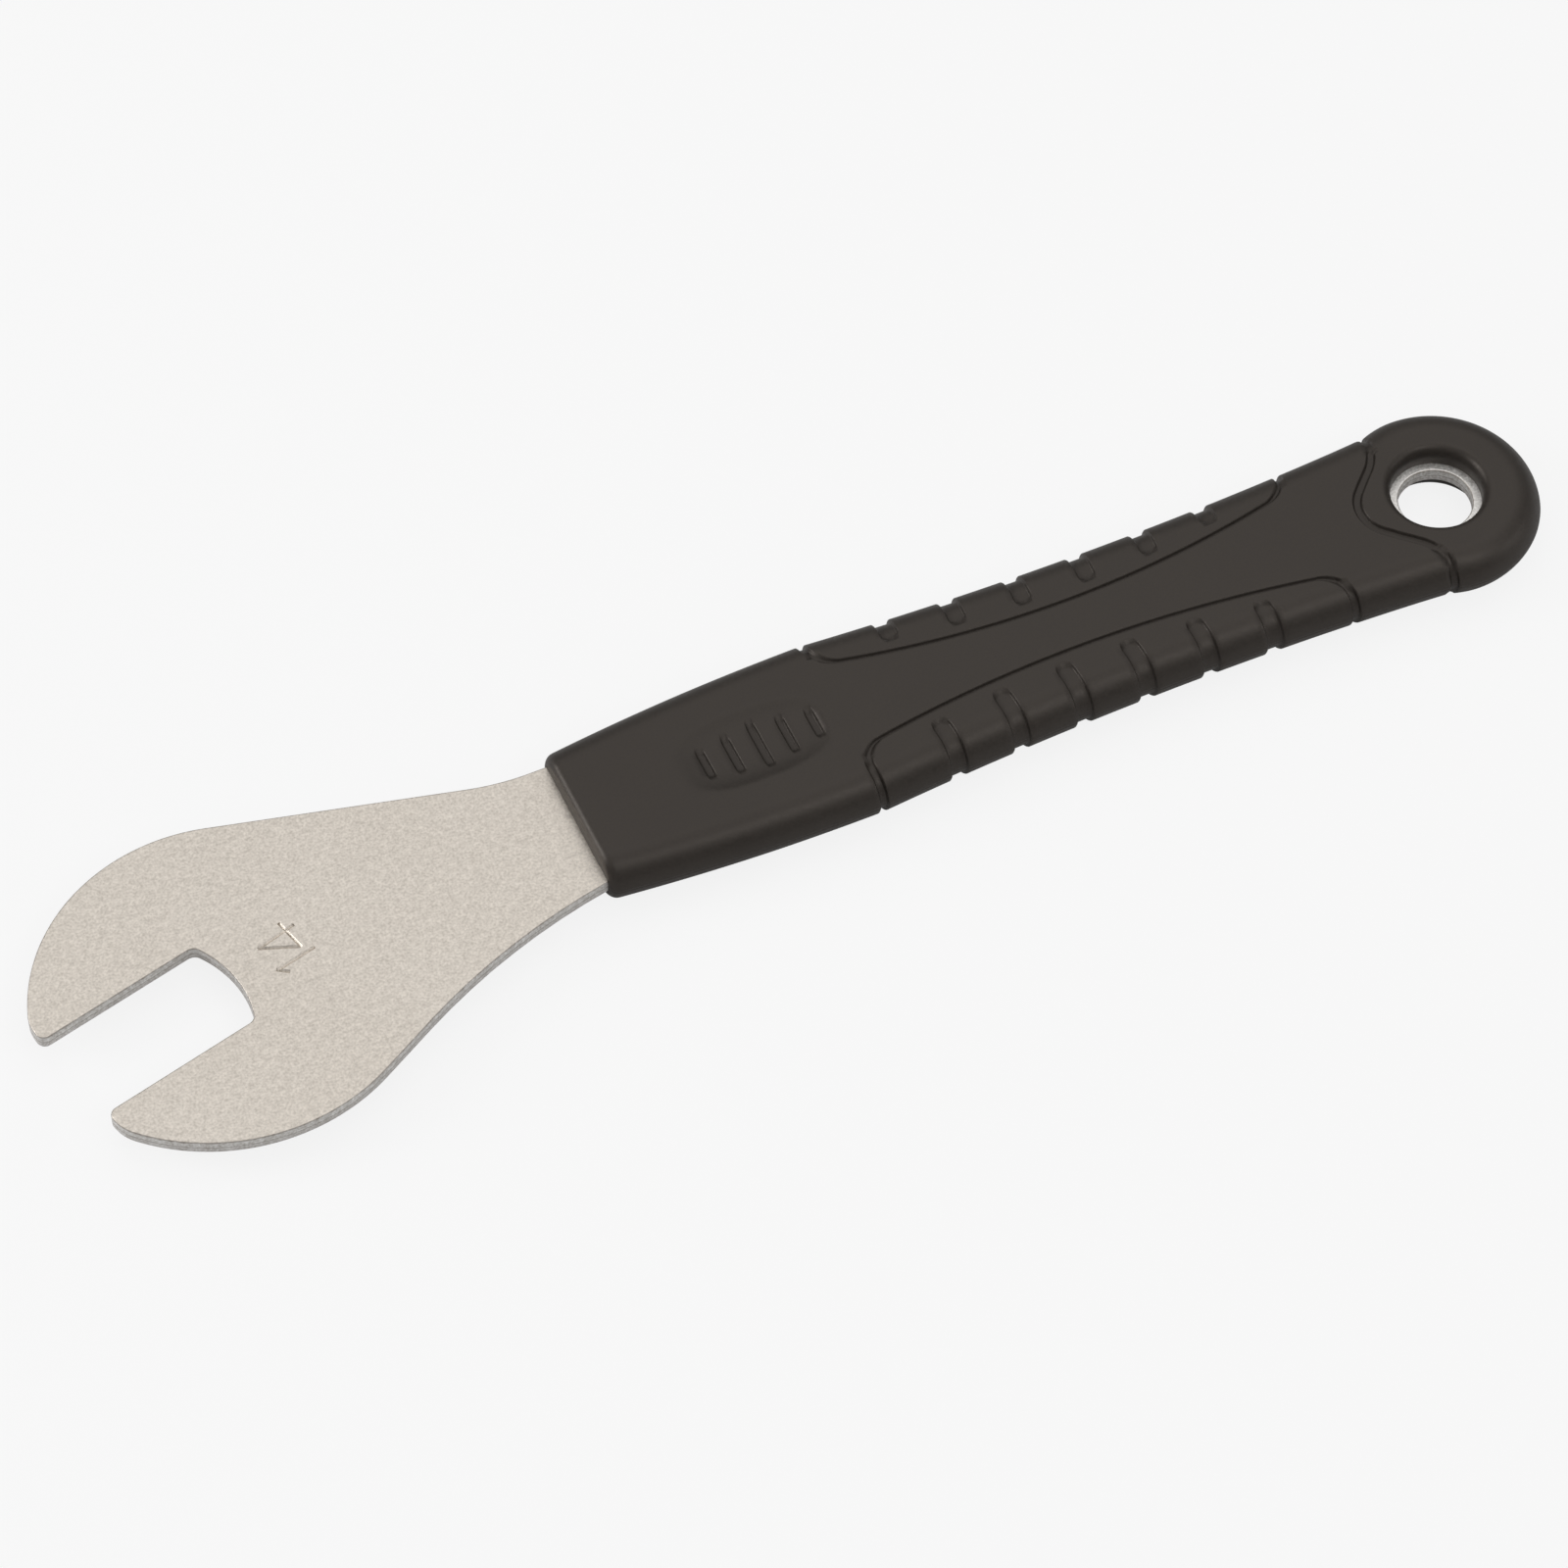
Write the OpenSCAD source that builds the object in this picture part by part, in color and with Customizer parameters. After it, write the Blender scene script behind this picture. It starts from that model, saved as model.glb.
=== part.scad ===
// Cone wrench: a stamped steel blade with an open jaw, moulded into a soft grip.
// The origin is the centre of the hang hole, halfway through the blade.
// +X runs along the handle away from the jaw, +Y to the far side, +Z up.

/* [Jaw] */
// Size across the flats of the nut that the jaw takes
jaw_size = 14; // [12:0.5:16]
// Play between the nut and the two jaw flats
jaw_play = 0.06; // [0.02:0.02:0.2]
// Angle between the jaw and the handle
jaw_angle = 13; // [8:1:16]
// Distance of the jaw's root behind the centre of the head
root_set = 0.9; // [-1.5:0.1:2.5]
// Radius of the shallow arc at the root
root_r = 15.7; // [12:0.1:20]
// Radius of the two corners of the root
root_corner_r = 1.4; // [0.8:0.1:2.4]

/* [Head] */
// Distance along the handle from the hang hole to the centre of the head
head_reach = 178.5; // [172:0.5:190]
// Distance of the centre of the head from the handle's line, to the near side
head_drop = 3.6; // [2:0.1:5]
// Height of the head on each side of the jaw's line
crown_h = 24.5; // [23:0.25:26]
// How much larger than that the radius of the far jaw's back is
far_back_rise = 1.7; // [1:0.1:3]
// How much larger than that the radius of the near jaw's back is
near_back_rise = 3.6; // [3:0.1:5]
// Radius of the nose of each jaw
nose_r = 6; // [5:0.25:7]
// Radius of the corner between a nose and its jaw flat
tip_r = 1.2; // [0.6:0.1:1.4]
// Length of the short straight between that corner and the nose
tip_land = 0.2; // [0.1:0.1:1]

/* [Neck and tang] */
// Thickness of the steel
plate_t = 2.2; // [1.8:0.1:3]
// Distance of the far side of the neck from the side of the grip's front face
neck_side = 1.5; // [1:0.1:2.5]
// How much closer to the middle line the near side of the neck ends
near_neck_set = 1.3; // [0:0.1:2]
// Angle at which the far side runs down to the neck
far_slope = 14.5; // [13:0.5:17]
// Angle at which the near side runs down to the neck
near_slope = 28.5; // [26:0.5:30]
// Radius between the far slope and the neck
far_neck_r = 35; // [28:1:45]
// Radius between the near slope and the neck
near_neck_r = 95; // [80:1:105]
// Length of the full neck inside the grip
neck_run = 6; // [3:0.5:9]
// Width of the near shoulder, where the neck steps down to the tang
shoulder_w = 0.8; // [0.5:0.1:2]
// Width of the grip outside the eye at the end of the tang
eye_side = 4.4; // [4:0.1:5]
// Diameter of the hang hole in the steel
hang_hole_d = 10.2; // [9:0.2:11]

/* [Grip] */
// Distance from the hang hole to the front face of the grip
grip_front = 127.8; // [124:0.2:132]
// Thickness of the grip, whose sides are full rounds
grip_t = 8.4; // [7.6:0.2:10]
// Width of the grip at its waist
waist_w = 24.1; // [23.6:0.1:25.2]
// How much narrower than the waist the front face is
front_taper = 0.9; // [0:0.1:1.4]
// Distance from the hang hole to the waist
waist_x = 45; // [43:0.5:47]
// How much wider than the waist the round end is
end_swell = 4.7; // [4:0.1:5.5]
// Radius of the upper and lower edges of the front face
front_edge_r = 1.3; // [0.8:0.1:1.8]
// Diameter of the hole in the grip, which leaves a ring of steel bare
grip_hole_d = 12.6; // [12:0.2:13.6]
// Radius of the rounded mouth of that hole
mouth_r = 1.2; // [0.6:0.1:1.6]

/* [Grip pattern] */
// Depth of the slots and grooves below the surface
cut_depth = 0.55; // [0.4:0.05:0.8]
// Distance from the hang hole to the front end of the side panels
panel_front = 90; // [88:0.5:91]
// Distance from the hang hole to the back end of the side panels
panel_back = 19.6; // [18:0.2:21]
// Distance of the panels from the middle line at their closest
panel_gap = 3.8; // [3:0.1:4.6]
// Distance from the hang hole to where the panels are closest
panel_mid = 56; // [54:0.5:58]
// Radius of the long edge of a panel
panel_r = 163; // [150:1:180]
// Radius of the inner corners of a panel
panel_corner_r = 2.6; // [1.6:0.1:3.4]
// Width of the groove along a panel
groove_w = 0.4; // [0.3:0.05:0.6]
// Width of the grooves that run across the sides
cross_groove_w = 1.1; // [0.8:0.1:1.4]
// Number of finger slots in each panel
slot_count = 6; // [4:1:6]
// Distance between neighbouring finger slots
slot_pitch = 9.5; // [8.5:0.1:10]
// Distance from the hang hole to the last finger slot
slot_back = 31; // [29:0.5:32]
// Width of a finger slot
slot_w = 2.4; // [1.8:0.1:3]
// Land between a panel's groove and the finger slots
slot_land = 1.7; // [1.2:0.1:2.4]

/* [End groove] */
// Distance from the hang hole to the tip of the groove's bow
bow_reach = 11.6; // [11:0.1:13]
// Radius of the bow
bow_r = 5.2; // [4.4:0.1:6]
// Distance from the hang hole to the groove's ends at the sides
bow_foot = 5; // [4:0.1:6]
// Radius of the bends at both feet of the bow
foot_r = 7; // [6:0.1:8]

/* [Thumb rest] */
// Distance from the hang hole to the middle of the thumb rest
rest_x = 101.8; // [100:0.2:104]
// Length of the thumb rest
rest_l = 20.6; // [18:0.2:22]
// Width of the thumb rest
rest_w = 10.4; // [9:0.2:12]
// Depth of the thumb rest
rest_depth = 0.7; // [0.4:0.1:1]
// Number of notches cut into the thumb rest
notch_count = 5; // [3:2:5]
// Distance between neighbouring notches
notch_pitch = 3.95; // [3.6:0.05:4.2]
// Width of a notch
notch_w = 1.1; // [0.8:0.1:1.5]
// Length of the middle notch
notch_l = 7.4; // [6:0.2:8]
// Share of its length by which the first and last notches are shorter
notch_taper = 0.36; // [0.2:0.02:0.5]
// Depth of the notches below the thumb rest
notch_depth = 0.4; // [0.2:0.1:0.6]

/* [Hidden] */

// The thumb rest is hollowed by a ring whose lowest point is its middle
rest_long_r = ((rest_l / 2) ^ 2 + rest_depth ^ 2) / (2 * rest_depth);
rest_wide_r = ((rest_w / 2) ^ 2 + rest_depth ^ 2) / (2 * rest_depth);
rest_sweep = 24;

// How far a cutting shape runs past what it cuts
over = 1;
arc_steps = 12;
round_steps = 10;

// The bow's flanks lean by this angle, and the backs of the two jaws are centred
// this far from the head's centre
flank_angle = 45;
far_crown_set = -0.9;
near_crown_set = 0.8;

grip_half_t = grip_t / 2;
waist_half = waist_w / 2;
front_half = waist_half - front_taper / 2;
end_d = waist_w + end_swell;
end_r = end_d / 2;

jaw_half = (jaw_size + jaw_play) / 2;
nose_half = jaw_half + tip_r + tip_land;
head_c = [-head_reach, -head_drop];
far_neck_half = front_half - neck_side;
near_neck_half = far_neck_half - near_neck_set;
tang_half = near_neck_half - shoulder_w;
eye_r = end_r - eye_side;

// Width of the bars that the grip's sides are cut from, and the least angle that
// half of a bar spans
bar_w = end_d + 6;
bar_least = 9;

// The waist is an arc that meets the round end at the foot of the end groove
foot_half = sqrt(end_r ^ 2 - bow_foot ^ 2);
waist_rise = foot_half - waist_half;
waist_r = ((waist_x - bow_foot) ^ 2 + waist_rise ^ 2) / (2 * waist_rise);
waist_c = [-waist_x, waist_half + waist_r, 0];
belly_half = waist_c.y - sqrt(waist_r ^ 2 - (panel_front - waist_x) ^ 2);

// The front bulges out from the front face to the side panels
bulge = belly_half - front_half;
bulge_l = grip_front - panel_front;
belly_r = (bulge_l ^ 2 + bulge ^ 2) / (2 * bulge);
belly_c = [-panel_front, belly_half - belly_r, 0];

function polar(r, a) = [r * cos(a), r * sin(a)];
function turned(p, a) = [p.x * cos(a) - p.y * sin(a), p.x * sin(a) + p.y * cos(a)];
function mirrored(p) = [p.x, -p.y];
function arc(c, r, from, to, steps = arc_steps) =
    [for (i = [0:steps]) c + polar(r, from + (to - from) * i / steps)];
function reversed(pts) = [for (i = [len(pts) - 1:-1:0]) pts[i]];
function both_sides(pts) = concat(pts, reversed([for (p = pts) mirrored(p)]));

// One side of the blade, from the tang's shoulder round the back of a jaw to its
// flat, drawn as if it were the far side
function flank(drop, tilt, back_rise, crown_set, neck_half, slope, neck_r) =
    let (
        head = [-head_reach, drop],
        back_r = crown_h + back_rise,
        back_c = head + turned([crown_set, -back_rise], tilt),
        nose_angle = 180 - asin((nose_half + back_rise) / (back_r - nose_r)),
        nose_c = back_c + polar(back_r - nose_r, nose_angle + tilt),
        nose = turned(nose_c - head, -tilt),
        tip_c = head + turned([nose.x - nose_r + tip_r, jaw_half + tip_r], tilt),
        start = 90 - slope,
        reach = back_c * polar(1, start) + back_r + neck_r,
        neck_c = [(reach - (neck_half + neck_r) * sin(start)) / cos(start), neck_half + neck_r],
        shoulder_x = max(neck_c.x, -grip_front) + neck_run
    )
    concat(
        [[shoulder_x + neck_half - tang_half, tang_half], [shoulder_x, neck_half]],
        arc(neck_c, neck_r, 270, 180 + start),
        arc(back_c, back_r, start, nose_angle + tilt, 3 * arc_steps),
        arc(nose_c, nose_r, nose_angle + tilt, 180 + tilt),
        arc(tip_c, tip_r, 180 + tilt, 270 + tilt)
    );

// The root of the jaw, from its far corner to its near corner
function root() =
    let (
        root_c = [root_set - root_r, 0],
        corner_y = jaw_half - root_corner_r,
        corner_a = asin(corner_y / (root_r - root_corner_r)),
        corner_c = root_c + polar(root_r - root_corner_r, corner_a),
        half = concat(
            arc(corner_c, root_corner_r, 90, corner_a),
            arc(root_c, root_r, corner_a, 0)
        )
    )
    [for (p = both_sides(half)) head_c + turned(p, jaw_angle)];

module blade_outline() {
    far = flank(
        -head_drop, jaw_angle, far_back_rise, far_crown_set, far_neck_half, far_slope, far_neck_r
    );
    near = flank(
        head_drop, -jaw_angle, near_back_rise, near_crown_set, near_neck_half, near_slope, near_neck_r
    );
    polygon(concat(
        [[0, tang_half]],
        far,
        root(),
        reversed([for (p = near) mirrored(p)]),
        [[0, -tang_half]]
    ));
    circle(eye_r, $fn = 96);
}

module blade_body() {
    linear_extrude(plate_t, center = true) blade_outline();
}

// A flat bar, bent round its axis, with a full round along its edge. It reaches
// in from the edge where sign is 1, and out from it where sign is -1.
module bent_bar(edge_r, r, sign, reach) {
    back = edge_r - sign * bar_w;
    round = arc([edge_r - sign * r, 0], r, -90, sign * 180 - 90, round_steps);
    bar_turn = max(bar_least, asin((reach + over) / (edge_r - bar_w)));
    rotate([0, 0, sign * 90 - bar_turn])
        rotate_extrude(angle = 2 * bar_turn, $fn = 1800)
            polygon(concat([[back, -r]], round, [[back, r]]));
}

// What two bars that mirror each other have in common, within a side view
module between_bars(centre, edge_r, r, sign, reach) {
    intersection() {
        translate(centre) bent_bar(edge_r, r, sign, reach);
        mirror([0, 1, 0]) translate(centre) bent_bar(edge_r, r, sign, reach);
        rotate([90, 0, 0]) linear_extrude(bar_w, center = true) children();
    }
}

// The moulded form of the grip, with its whole surface pulled in by inset
module grip_form(inset = 0) {
    r = grip_half_t - inset;
    edge_x = -grip_front + inset + front_edge_r;
    edge_z = r - front_edge_r;
    between_bars(belly_c, belly_r - inset, r, 1, bulge_l)
        polygon(concat(
            [[-panel_front, grip_t], [edge_x, grip_t]],
            arc([edge_x, edge_z], front_edge_r, 90, 180, 4),
            arc([edge_x, -edge_z], front_edge_r, 180, 270, 4),
            [[edge_x, -grip_t], [-panel_front, -grip_t]]
        ));
    between_bars(waist_c, waist_r + inset, r, -1, panel_front - waist_x)
        translate([-panel_front, -grip_t]) square([panel_front - bow_foot, 2 * grip_t]);
    intersection() {
        rotate_extrude($fn = 180)
            polygon(concat([[0, -r]], arc([end_r - inset - r, 0], r, -90, 90, round_steps), [[0, r]]));
        translate([-bow_foot, -end_r, -grip_t]) cube([2 * end_r, end_d, 2 * grip_t]);
    }
}

// A side panel, made larger by side along its long edge and by ends at its ends
module panel(side, ends) {
    edge_r = panel_r + side;
    edge_c = [-panel_mid, panel_gap + panel_r];
    corner_r = panel_corner_r + side;
    x0 = -panel_front - ends;
    x1 = -panel_back + ends;
    front_a = -acos((x0 + corner_r - edge_c.x) / (edge_r - corner_r));
    back_a = -acos((x1 - corner_r - edge_c.x) / (edge_r - corner_r));
    polygon(concat(
        [[x0, end_d]],
        arc(edge_c + polar(edge_r - corner_r, front_a), corner_r, -180, front_a, 6),
        arc(edge_c, edge_r, front_a, back_a, 20),
        arc(edge_c + polar(edge_r - corner_r, back_a), corner_r, back_a, 0, 6),
        [[x1, end_d]]
    ));
}

module finger_slot(x) {
    inner_y = panel_gap + panel_r - sqrt(panel_r ^ 2 - (x + panel_mid) ^ 2) + slot_land;
    polygon(concat(
        arc([x, inner_y + slot_w / 2], slot_w / 2, 180, 360, 8),
        [[x + slot_w / 2, end_d], [x - slot_w / 2, end_d]]
    ));
}

// One edge of the bowed groove, o to the outer side of its middle line
function bow(o) =
    let (
        bow_c = [-bow_reach + bow_r, 0],
        foot_x = -bow_foot - foot_r,
        lean = 180 - flank_angle,
        foot_y = (bow_r + foot_r + (foot_x - bow_c.x) * -cos(lean)) / sin(lean)
    )
    concat(
        [[-bow_foot - o, end_d]],
        arc([foot_x, foot_y], foot_r - o, 0, lean - 180, 6),
        arc(bow_c, bow_r + o, lean, 180, 6)
    );

module end_groove() {
    half_w = cross_groove_w / 2;
    polygon(concat(both_sides(bow(half_w)), reversed(both_sides(bow(-half_w)))));
}

module pattern() {
    for (side = [0, 1]) mirror([0, side, 0]) {
        difference() {
            panel(groove_w / 2, cross_groove_w / 2);
            panel(-groove_w / 2, -cross_groove_w / 2);
        }
        for (i = [0:slot_count - 1]) finger_slot(-slot_back - slot_pitch * i);
    }
    end_groove();
}

// The hollow of the thumb rest and its notches, seen from above
module thumb_rest() {
    middle = (notch_count - 1) / 2;
    translate([-rest_x, 0, grip_half_t]) {
        translate([0, 0, rest_long_r - rest_depth]) rotate([90, 0, 0])
            rotate([0, 0, -90 - rest_sweep / 2])
                rotate_extrude(angle = rest_sweep, $fn = 720)
                    translate([rest_long_r - rest_wide_r, 0])
                        circle(rest_wide_r, $fn = 240);
        for (i = [0:notch_count - 1]) {
            off = abs(i - middle) / middle;
            span = notch_l * (1 - notch_taper * off) - notch_w;
            translate([(i - middle) * notch_pitch, 0, -rest_depth - notch_depth])
                linear_extrude(rest_depth + notch_depth + over)
                    polygon(concat(
                        arc([0, span / 2], notch_w / 2, 0, 180, 6),
                        arc([0, -span / 2], notch_w / 2, 180, 360, 6)
                    ));
        }
    }
}

module grip_hole() {
    r = grip_hole_d / 2;
    lip_c = [r + mouth_r, grip_half_t - mouth_r];
    cylinder(h = grip_t + 2 * over, d = grip_hole_d, center = true, $fn = 96);
    for (side = [0, 1]) mirror([0, 0, side])
        rotate_extrude($fn = 96)
            polygon(concat(
                [[r - over, lip_c.y], [r - over, grip_half_t + over]],
                [[r + mouth_r, grip_half_t + over]],
                arc(lip_c, mouth_r, 90, 180, 6)
            ));
}

module blade() {
    color([0.81, 0.78, 0.74]) difference() {
        blade_body();
        cylinder(h = plate_t + 2 * over, d = hang_hole_d, center = true, $fn = 96);
    }
}

module grip() {
    color([0.25, 0.235, 0.22]) difference() {
        union() {
            grip_form(cut_depth);
            difference() {
                grip_form();
                linear_extrude(grip_t + 2 * over, center = true) pattern();
            }
        }
        blade_body();
        grip_hole();
        for (side = [0, 1]) mirror([0, 0, side]) thumb_rest();
    }
}

blade();
grip();
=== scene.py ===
"""Looks of the cone wrench: its satin steel blade and its moulded rubber grip, on a pale studio floor."""

from collections import namedtuple
from math import acos, asin, atan2, cos, degrees, hypot, pi, radians, sin, sqrt

import bmesh
import bpy
from mathutils import Matrix, Vector


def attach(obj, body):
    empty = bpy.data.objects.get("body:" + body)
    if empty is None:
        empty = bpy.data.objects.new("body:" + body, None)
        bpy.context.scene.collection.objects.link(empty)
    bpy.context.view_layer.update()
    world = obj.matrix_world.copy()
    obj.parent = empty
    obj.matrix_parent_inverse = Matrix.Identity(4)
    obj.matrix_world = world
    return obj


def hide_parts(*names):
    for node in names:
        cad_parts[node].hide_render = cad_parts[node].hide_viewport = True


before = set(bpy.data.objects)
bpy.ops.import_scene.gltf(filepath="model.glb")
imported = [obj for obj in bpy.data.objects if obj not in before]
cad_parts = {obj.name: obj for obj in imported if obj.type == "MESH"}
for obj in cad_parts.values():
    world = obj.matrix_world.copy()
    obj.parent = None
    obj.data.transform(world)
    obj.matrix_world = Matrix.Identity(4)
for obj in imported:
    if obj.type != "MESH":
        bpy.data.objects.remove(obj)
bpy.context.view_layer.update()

MM = 0.001

# The blade, in millimetres, with the hang hole's centre as the origin
PLATE_T = 2.2
JAW_HALF = 7.03
JAW_ANGLE = radians(13)
HEAD = Vector((-178.5, -3.6))
CROWN_H = 24.5
NOSE_R = 6
TIP_R = 1.2
NOSE_HALF = JAW_HALF + TIP_R + 0.2
ROOT_SET = 0.9
ROOT_R = 15.7
ROOT_CORNER_R = 1.4
NECK_HALF = 10.1
TANG_HALF = 8
NECK_RUN = 6
EYE_R = 10
HANG_HOLE_R = 5.1
EDGE_ROLL = 0.22
# How far from the hang hole's centre the steel is painted lighter, as painted light against the shade in
# the grip's recess
BARE_LIT_RING_R = 9

# Strokes of the stamped size number, each from a start to an end. They lie at slightly different
# heights, because the cut fails where their edges meet exactly
STROKES = [
    ((-172.1, -4.81), (-166.55, -3.49)),
    ((-172.2, -4.75), (-170.85, -5.67)),
    ((-173.15, -0.71), (-167.67, 0.86)),
    ((-173.15, -0.71), (-168.13, -2.62)),
    ((-168.0, -2.7), (-169.27, 1.82)),
]
STROKE_R = 0.34
STROKE_LIFT = 0.06
STROKE_STEP = 0.007

# The grip
FRONT = -127.8
HALF_T = 4.2
FRONT_HALF = 11.6
WAIST_HALF = 12.05
WAIST_X = -45
END_R = 14.4
FOOT_X = -5
FRONT_EDGE_R = 1.3
HOLE_R = 6.3
MOUTH_R = 1.3
MOUTH_H = 1.9
POCKET_GAP = 0.05
POCKET_DEPTH = 1.5

# The pattern that is sunk in the grip
CUT_DEPTH = 0.55
PANEL_FRONT = -90
PANEL_BACK = -19.0
PANEL_CORNER_R = 3.5
GROOVE_HALF = 0.2
CROSS_HALF = 0.55
SOFT = 0.16
SLOTS = [-31 - 9.5 * i for i in range(6)]
SLOT_HALF = 1.2
SLOT_LAND = 1.7
BOW_X = -6.4
BOW_R = 5.2
FOOT_R = 7

# How far the pattern leans back beyond LEAN_FROM of the middle line, and where that sets in and ends
LEAN = 0.07
LEAN_FROM = 5
LEAN_START, LEAN_RISE = -106, 14
LEAN_END, LEAN_FALL = -7, 9

# What differs between the two halves of the pattern: the least gap between the panel and the middle
# line, where that is, the radius of the panel's long edge, and where the end groove meets the side
Half = namedtuple("Half", "gap middle r foot")
FAR = Half(3.88, -53.5, 147, -5.4)
NEAR = Half(3.65, -57, 183, -4.6)

# The parting line: where the rounded side stops short of upright, and the groove along it
PARTING_TURN = radians(83)
PARTING_DEPTH = 0.05
PARTING_H = 0.2

# How the mesh is spaced: along the handle, at the panels' corners, round the end, and beside a groove
FILL = 0.9
FINE_FILL = 0.25
END_FILL = 0.45
GROOVE_BAND = 0.45
CORNER_SPAN = (0.8, 3.4)

# The thumb rest and its notches
REST_X = -101.6
REST_HALF_L = 11.1
REST_HALF_W = 5.7
REST_DEPTH = 0.85
REST_STEEP = 3.2
REST_FRONT_POWER = 3.0
REST_BACK_POWER = 2.2
NOTCHES = [(3.95 * i + 0.4, 7.4 * (1 - 0.18 * abs(i)) - 1.1) for i in range(-2, 3)]
NOTCH_HALF = 0.55
NOTCH_DEPTH = 0.5


def smooth(t):
    t = min(1, max(0, t))
    return t * t * (3 - 2 * t)


def arc(centre, r, start, end, steps):
    """Points on an arc, with its angles in degrees."""
    turns = [radians(start + (end - start) * i / steps) for i in range(steps + 1)]
    return [Vector((centre[0] + r * cos(a), centre[1] + r * sin(a))) for a in turns]


def turned(point, angle):
    return Matrix.Rotation(angle, 2) @ Vector(point)


def finish_piece(bm, name, materials, replaced):
    """Turns a mesh that was built in millimetres into a piece that stands for a CAD node."""
    bmesh.ops.scale(bm, vec=(MM, MM, MM), verts=bm.verts)
    mesh = bpy.data.meshes.new(name)
    bm.to_mesh(mesh)
    bm.free()
    for material in materials:
        mesh.materials.append(material)
    piece = bpy.data.objects.new(name, mesh)
    bpy.context.scene.collection.objects.link(piece)
    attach(piece, "root")
    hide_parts(replaced)
    return piece


# Node groups that both materials share


def new_group(name, inputs, outputs):
    group = bpy.data.node_groups.new(name, "ShaderNodeTree")
    for label, value in inputs.items():
        kind = "NodeSocketColor" if isinstance(value, tuple) else "NodeSocketFloat"
        socket = group.interface.new_socket(label, in_out="INPUT", socket_type=kind)
        socket.default_value = value
    for label, kind in outputs.items():
        group.interface.new_socket(label, in_out="OUTPUT", socket_type=kind)
    return group, group.nodes.new("NodeGroupInput"), group.nodes.new("NodeGroupOutput")


def math_node(tree, operation, a, b=0.0, clamp=False):
    node = tree.nodes.new("ShaderNodeMath")
    node.operation = operation
    node.use_clamp = clamp
    for socket, value in zip(node.inputs, (a, b)):
        if isinstance(value, (int, float)):
            socket.default_value = value
        else:
            tree.links.new(value, socket)
    return node.outputs[0]


def mix_colour(tree, factor, a, b, blend="MIX"):
    node = tree.nodes.new("ShaderNodeMix")
    node.data_type = "RGBA"
    node.blend_type = blend
    for socket, value in ((node.inputs[0], factor), (node.inputs[6], a), (node.inputs[7], b)):
        if isinstance(value, (int, float, tuple)):
            socket.default_value = value
        else:
            tree.links.new(value, socket)
    return node.outputs[2]


def noise(tree, scale, detail, vector=None, roughness=0.5):
    node = tree.nodes.new("ShaderNodeTexNoise")
    if isinstance(scale, (int, float)):
        node.inputs["Scale"].default_value = scale
    else:
        tree.links.new(scale, node.inputs["Scale"])
    node.inputs["Detail"].default_value = detail
    node.inputs["Roughness"].default_value = roughness
    if vector is None:
        vector = tree.nodes.new("ShaderNodeTexCoord").outputs["Object"]
    tree.links.new(vector, node.inputs["Vector"])
    return node.outputs["Fac"]


def grain_group():
    """Fine specks of two sizes: how light each is, and how high it stands."""
    group, given, made = new_group(
        "grain",
        {"Size": 2500.0, "Contrast": 1.0},
        {"Shade": "NodeSocketFloat", "Height": "NodeSocketFloat"},
    )
    fine = noise(group, given.outputs["Size"], 2)
    coarse = noise(group, math_node(group, "MULTIPLY", given.outputs["Size"], 0.37), 2)
    part = math_node(group, "MULTIPLY", coarse, 0.35)
    both = math_node(group, "ADD", math_node(group, "MULTIPLY", fine, 0.65), part)
    swing = math_node(group, "SUBTRACT", both, 0.5)
    spread = math_node(group, "MULTIPLY", swing, given.outputs["Contrast"])
    group.links.new(math_node(group, "ADD", spread, 0.5, clamp=True), made.inputs["Shade"])
    group.links.new(both, made.inputs["Height"])
    return group


def blotch_group():
    """Broad, soft differences of tone over a surface."""
    group, given, made = new_group(
        "blotches", {"Size": 60.0, "Amount": 0.1}, {"Shade": "NodeSocketFloat"}
    )
    cloud = noise(group, given.outputs["Size"], 3)
    swing = math_node(group, "MULTIPLY", math_node(group, "SUBTRACT", cloud, 0.5), given.outputs["Amount"])
    group.links.new(math_node(group, "ADD", swing, 0.5, clamp=True), made.inputs["Shade"])
    return group


def place_group(tree, group, **values):
    node = tree.nodes.new("ShaderNodeGroup")
    node.node_tree = group
    for label, value in values.items():
        node.inputs[label].default_value = value
    return node


def new_material(name):
    material = bpy.data.materials.new(name)
    material.use_nodes = True
    return material, material.node_tree, material.node_tree.nodes["Principled BSDF"]


def bump(tree, height, strength, distance):
    node = tree.nodes.new("ShaderNodeBump")
    node.inputs["Strength"].default_value = strength
    node.inputs["Distance"].default_value = distance
    tree.links.new(height, node.inputs["Height"])
    return node.outputs["Normal"]


def shade_between(tree, dark, light, grain, blotch):
    """A colour between two, led by the grain, then shifted by the blotches."""
    base = mix_colour(tree, grain, dark, light)
    tone = mix_colour(tree, blotch, (0.4, 0.4, 0.4, 1), (0.6, 0.6, 0.6, 1))
    return mix_colour(tree, 1.0, base, tone, "SOFT_LIGHT")


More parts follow.
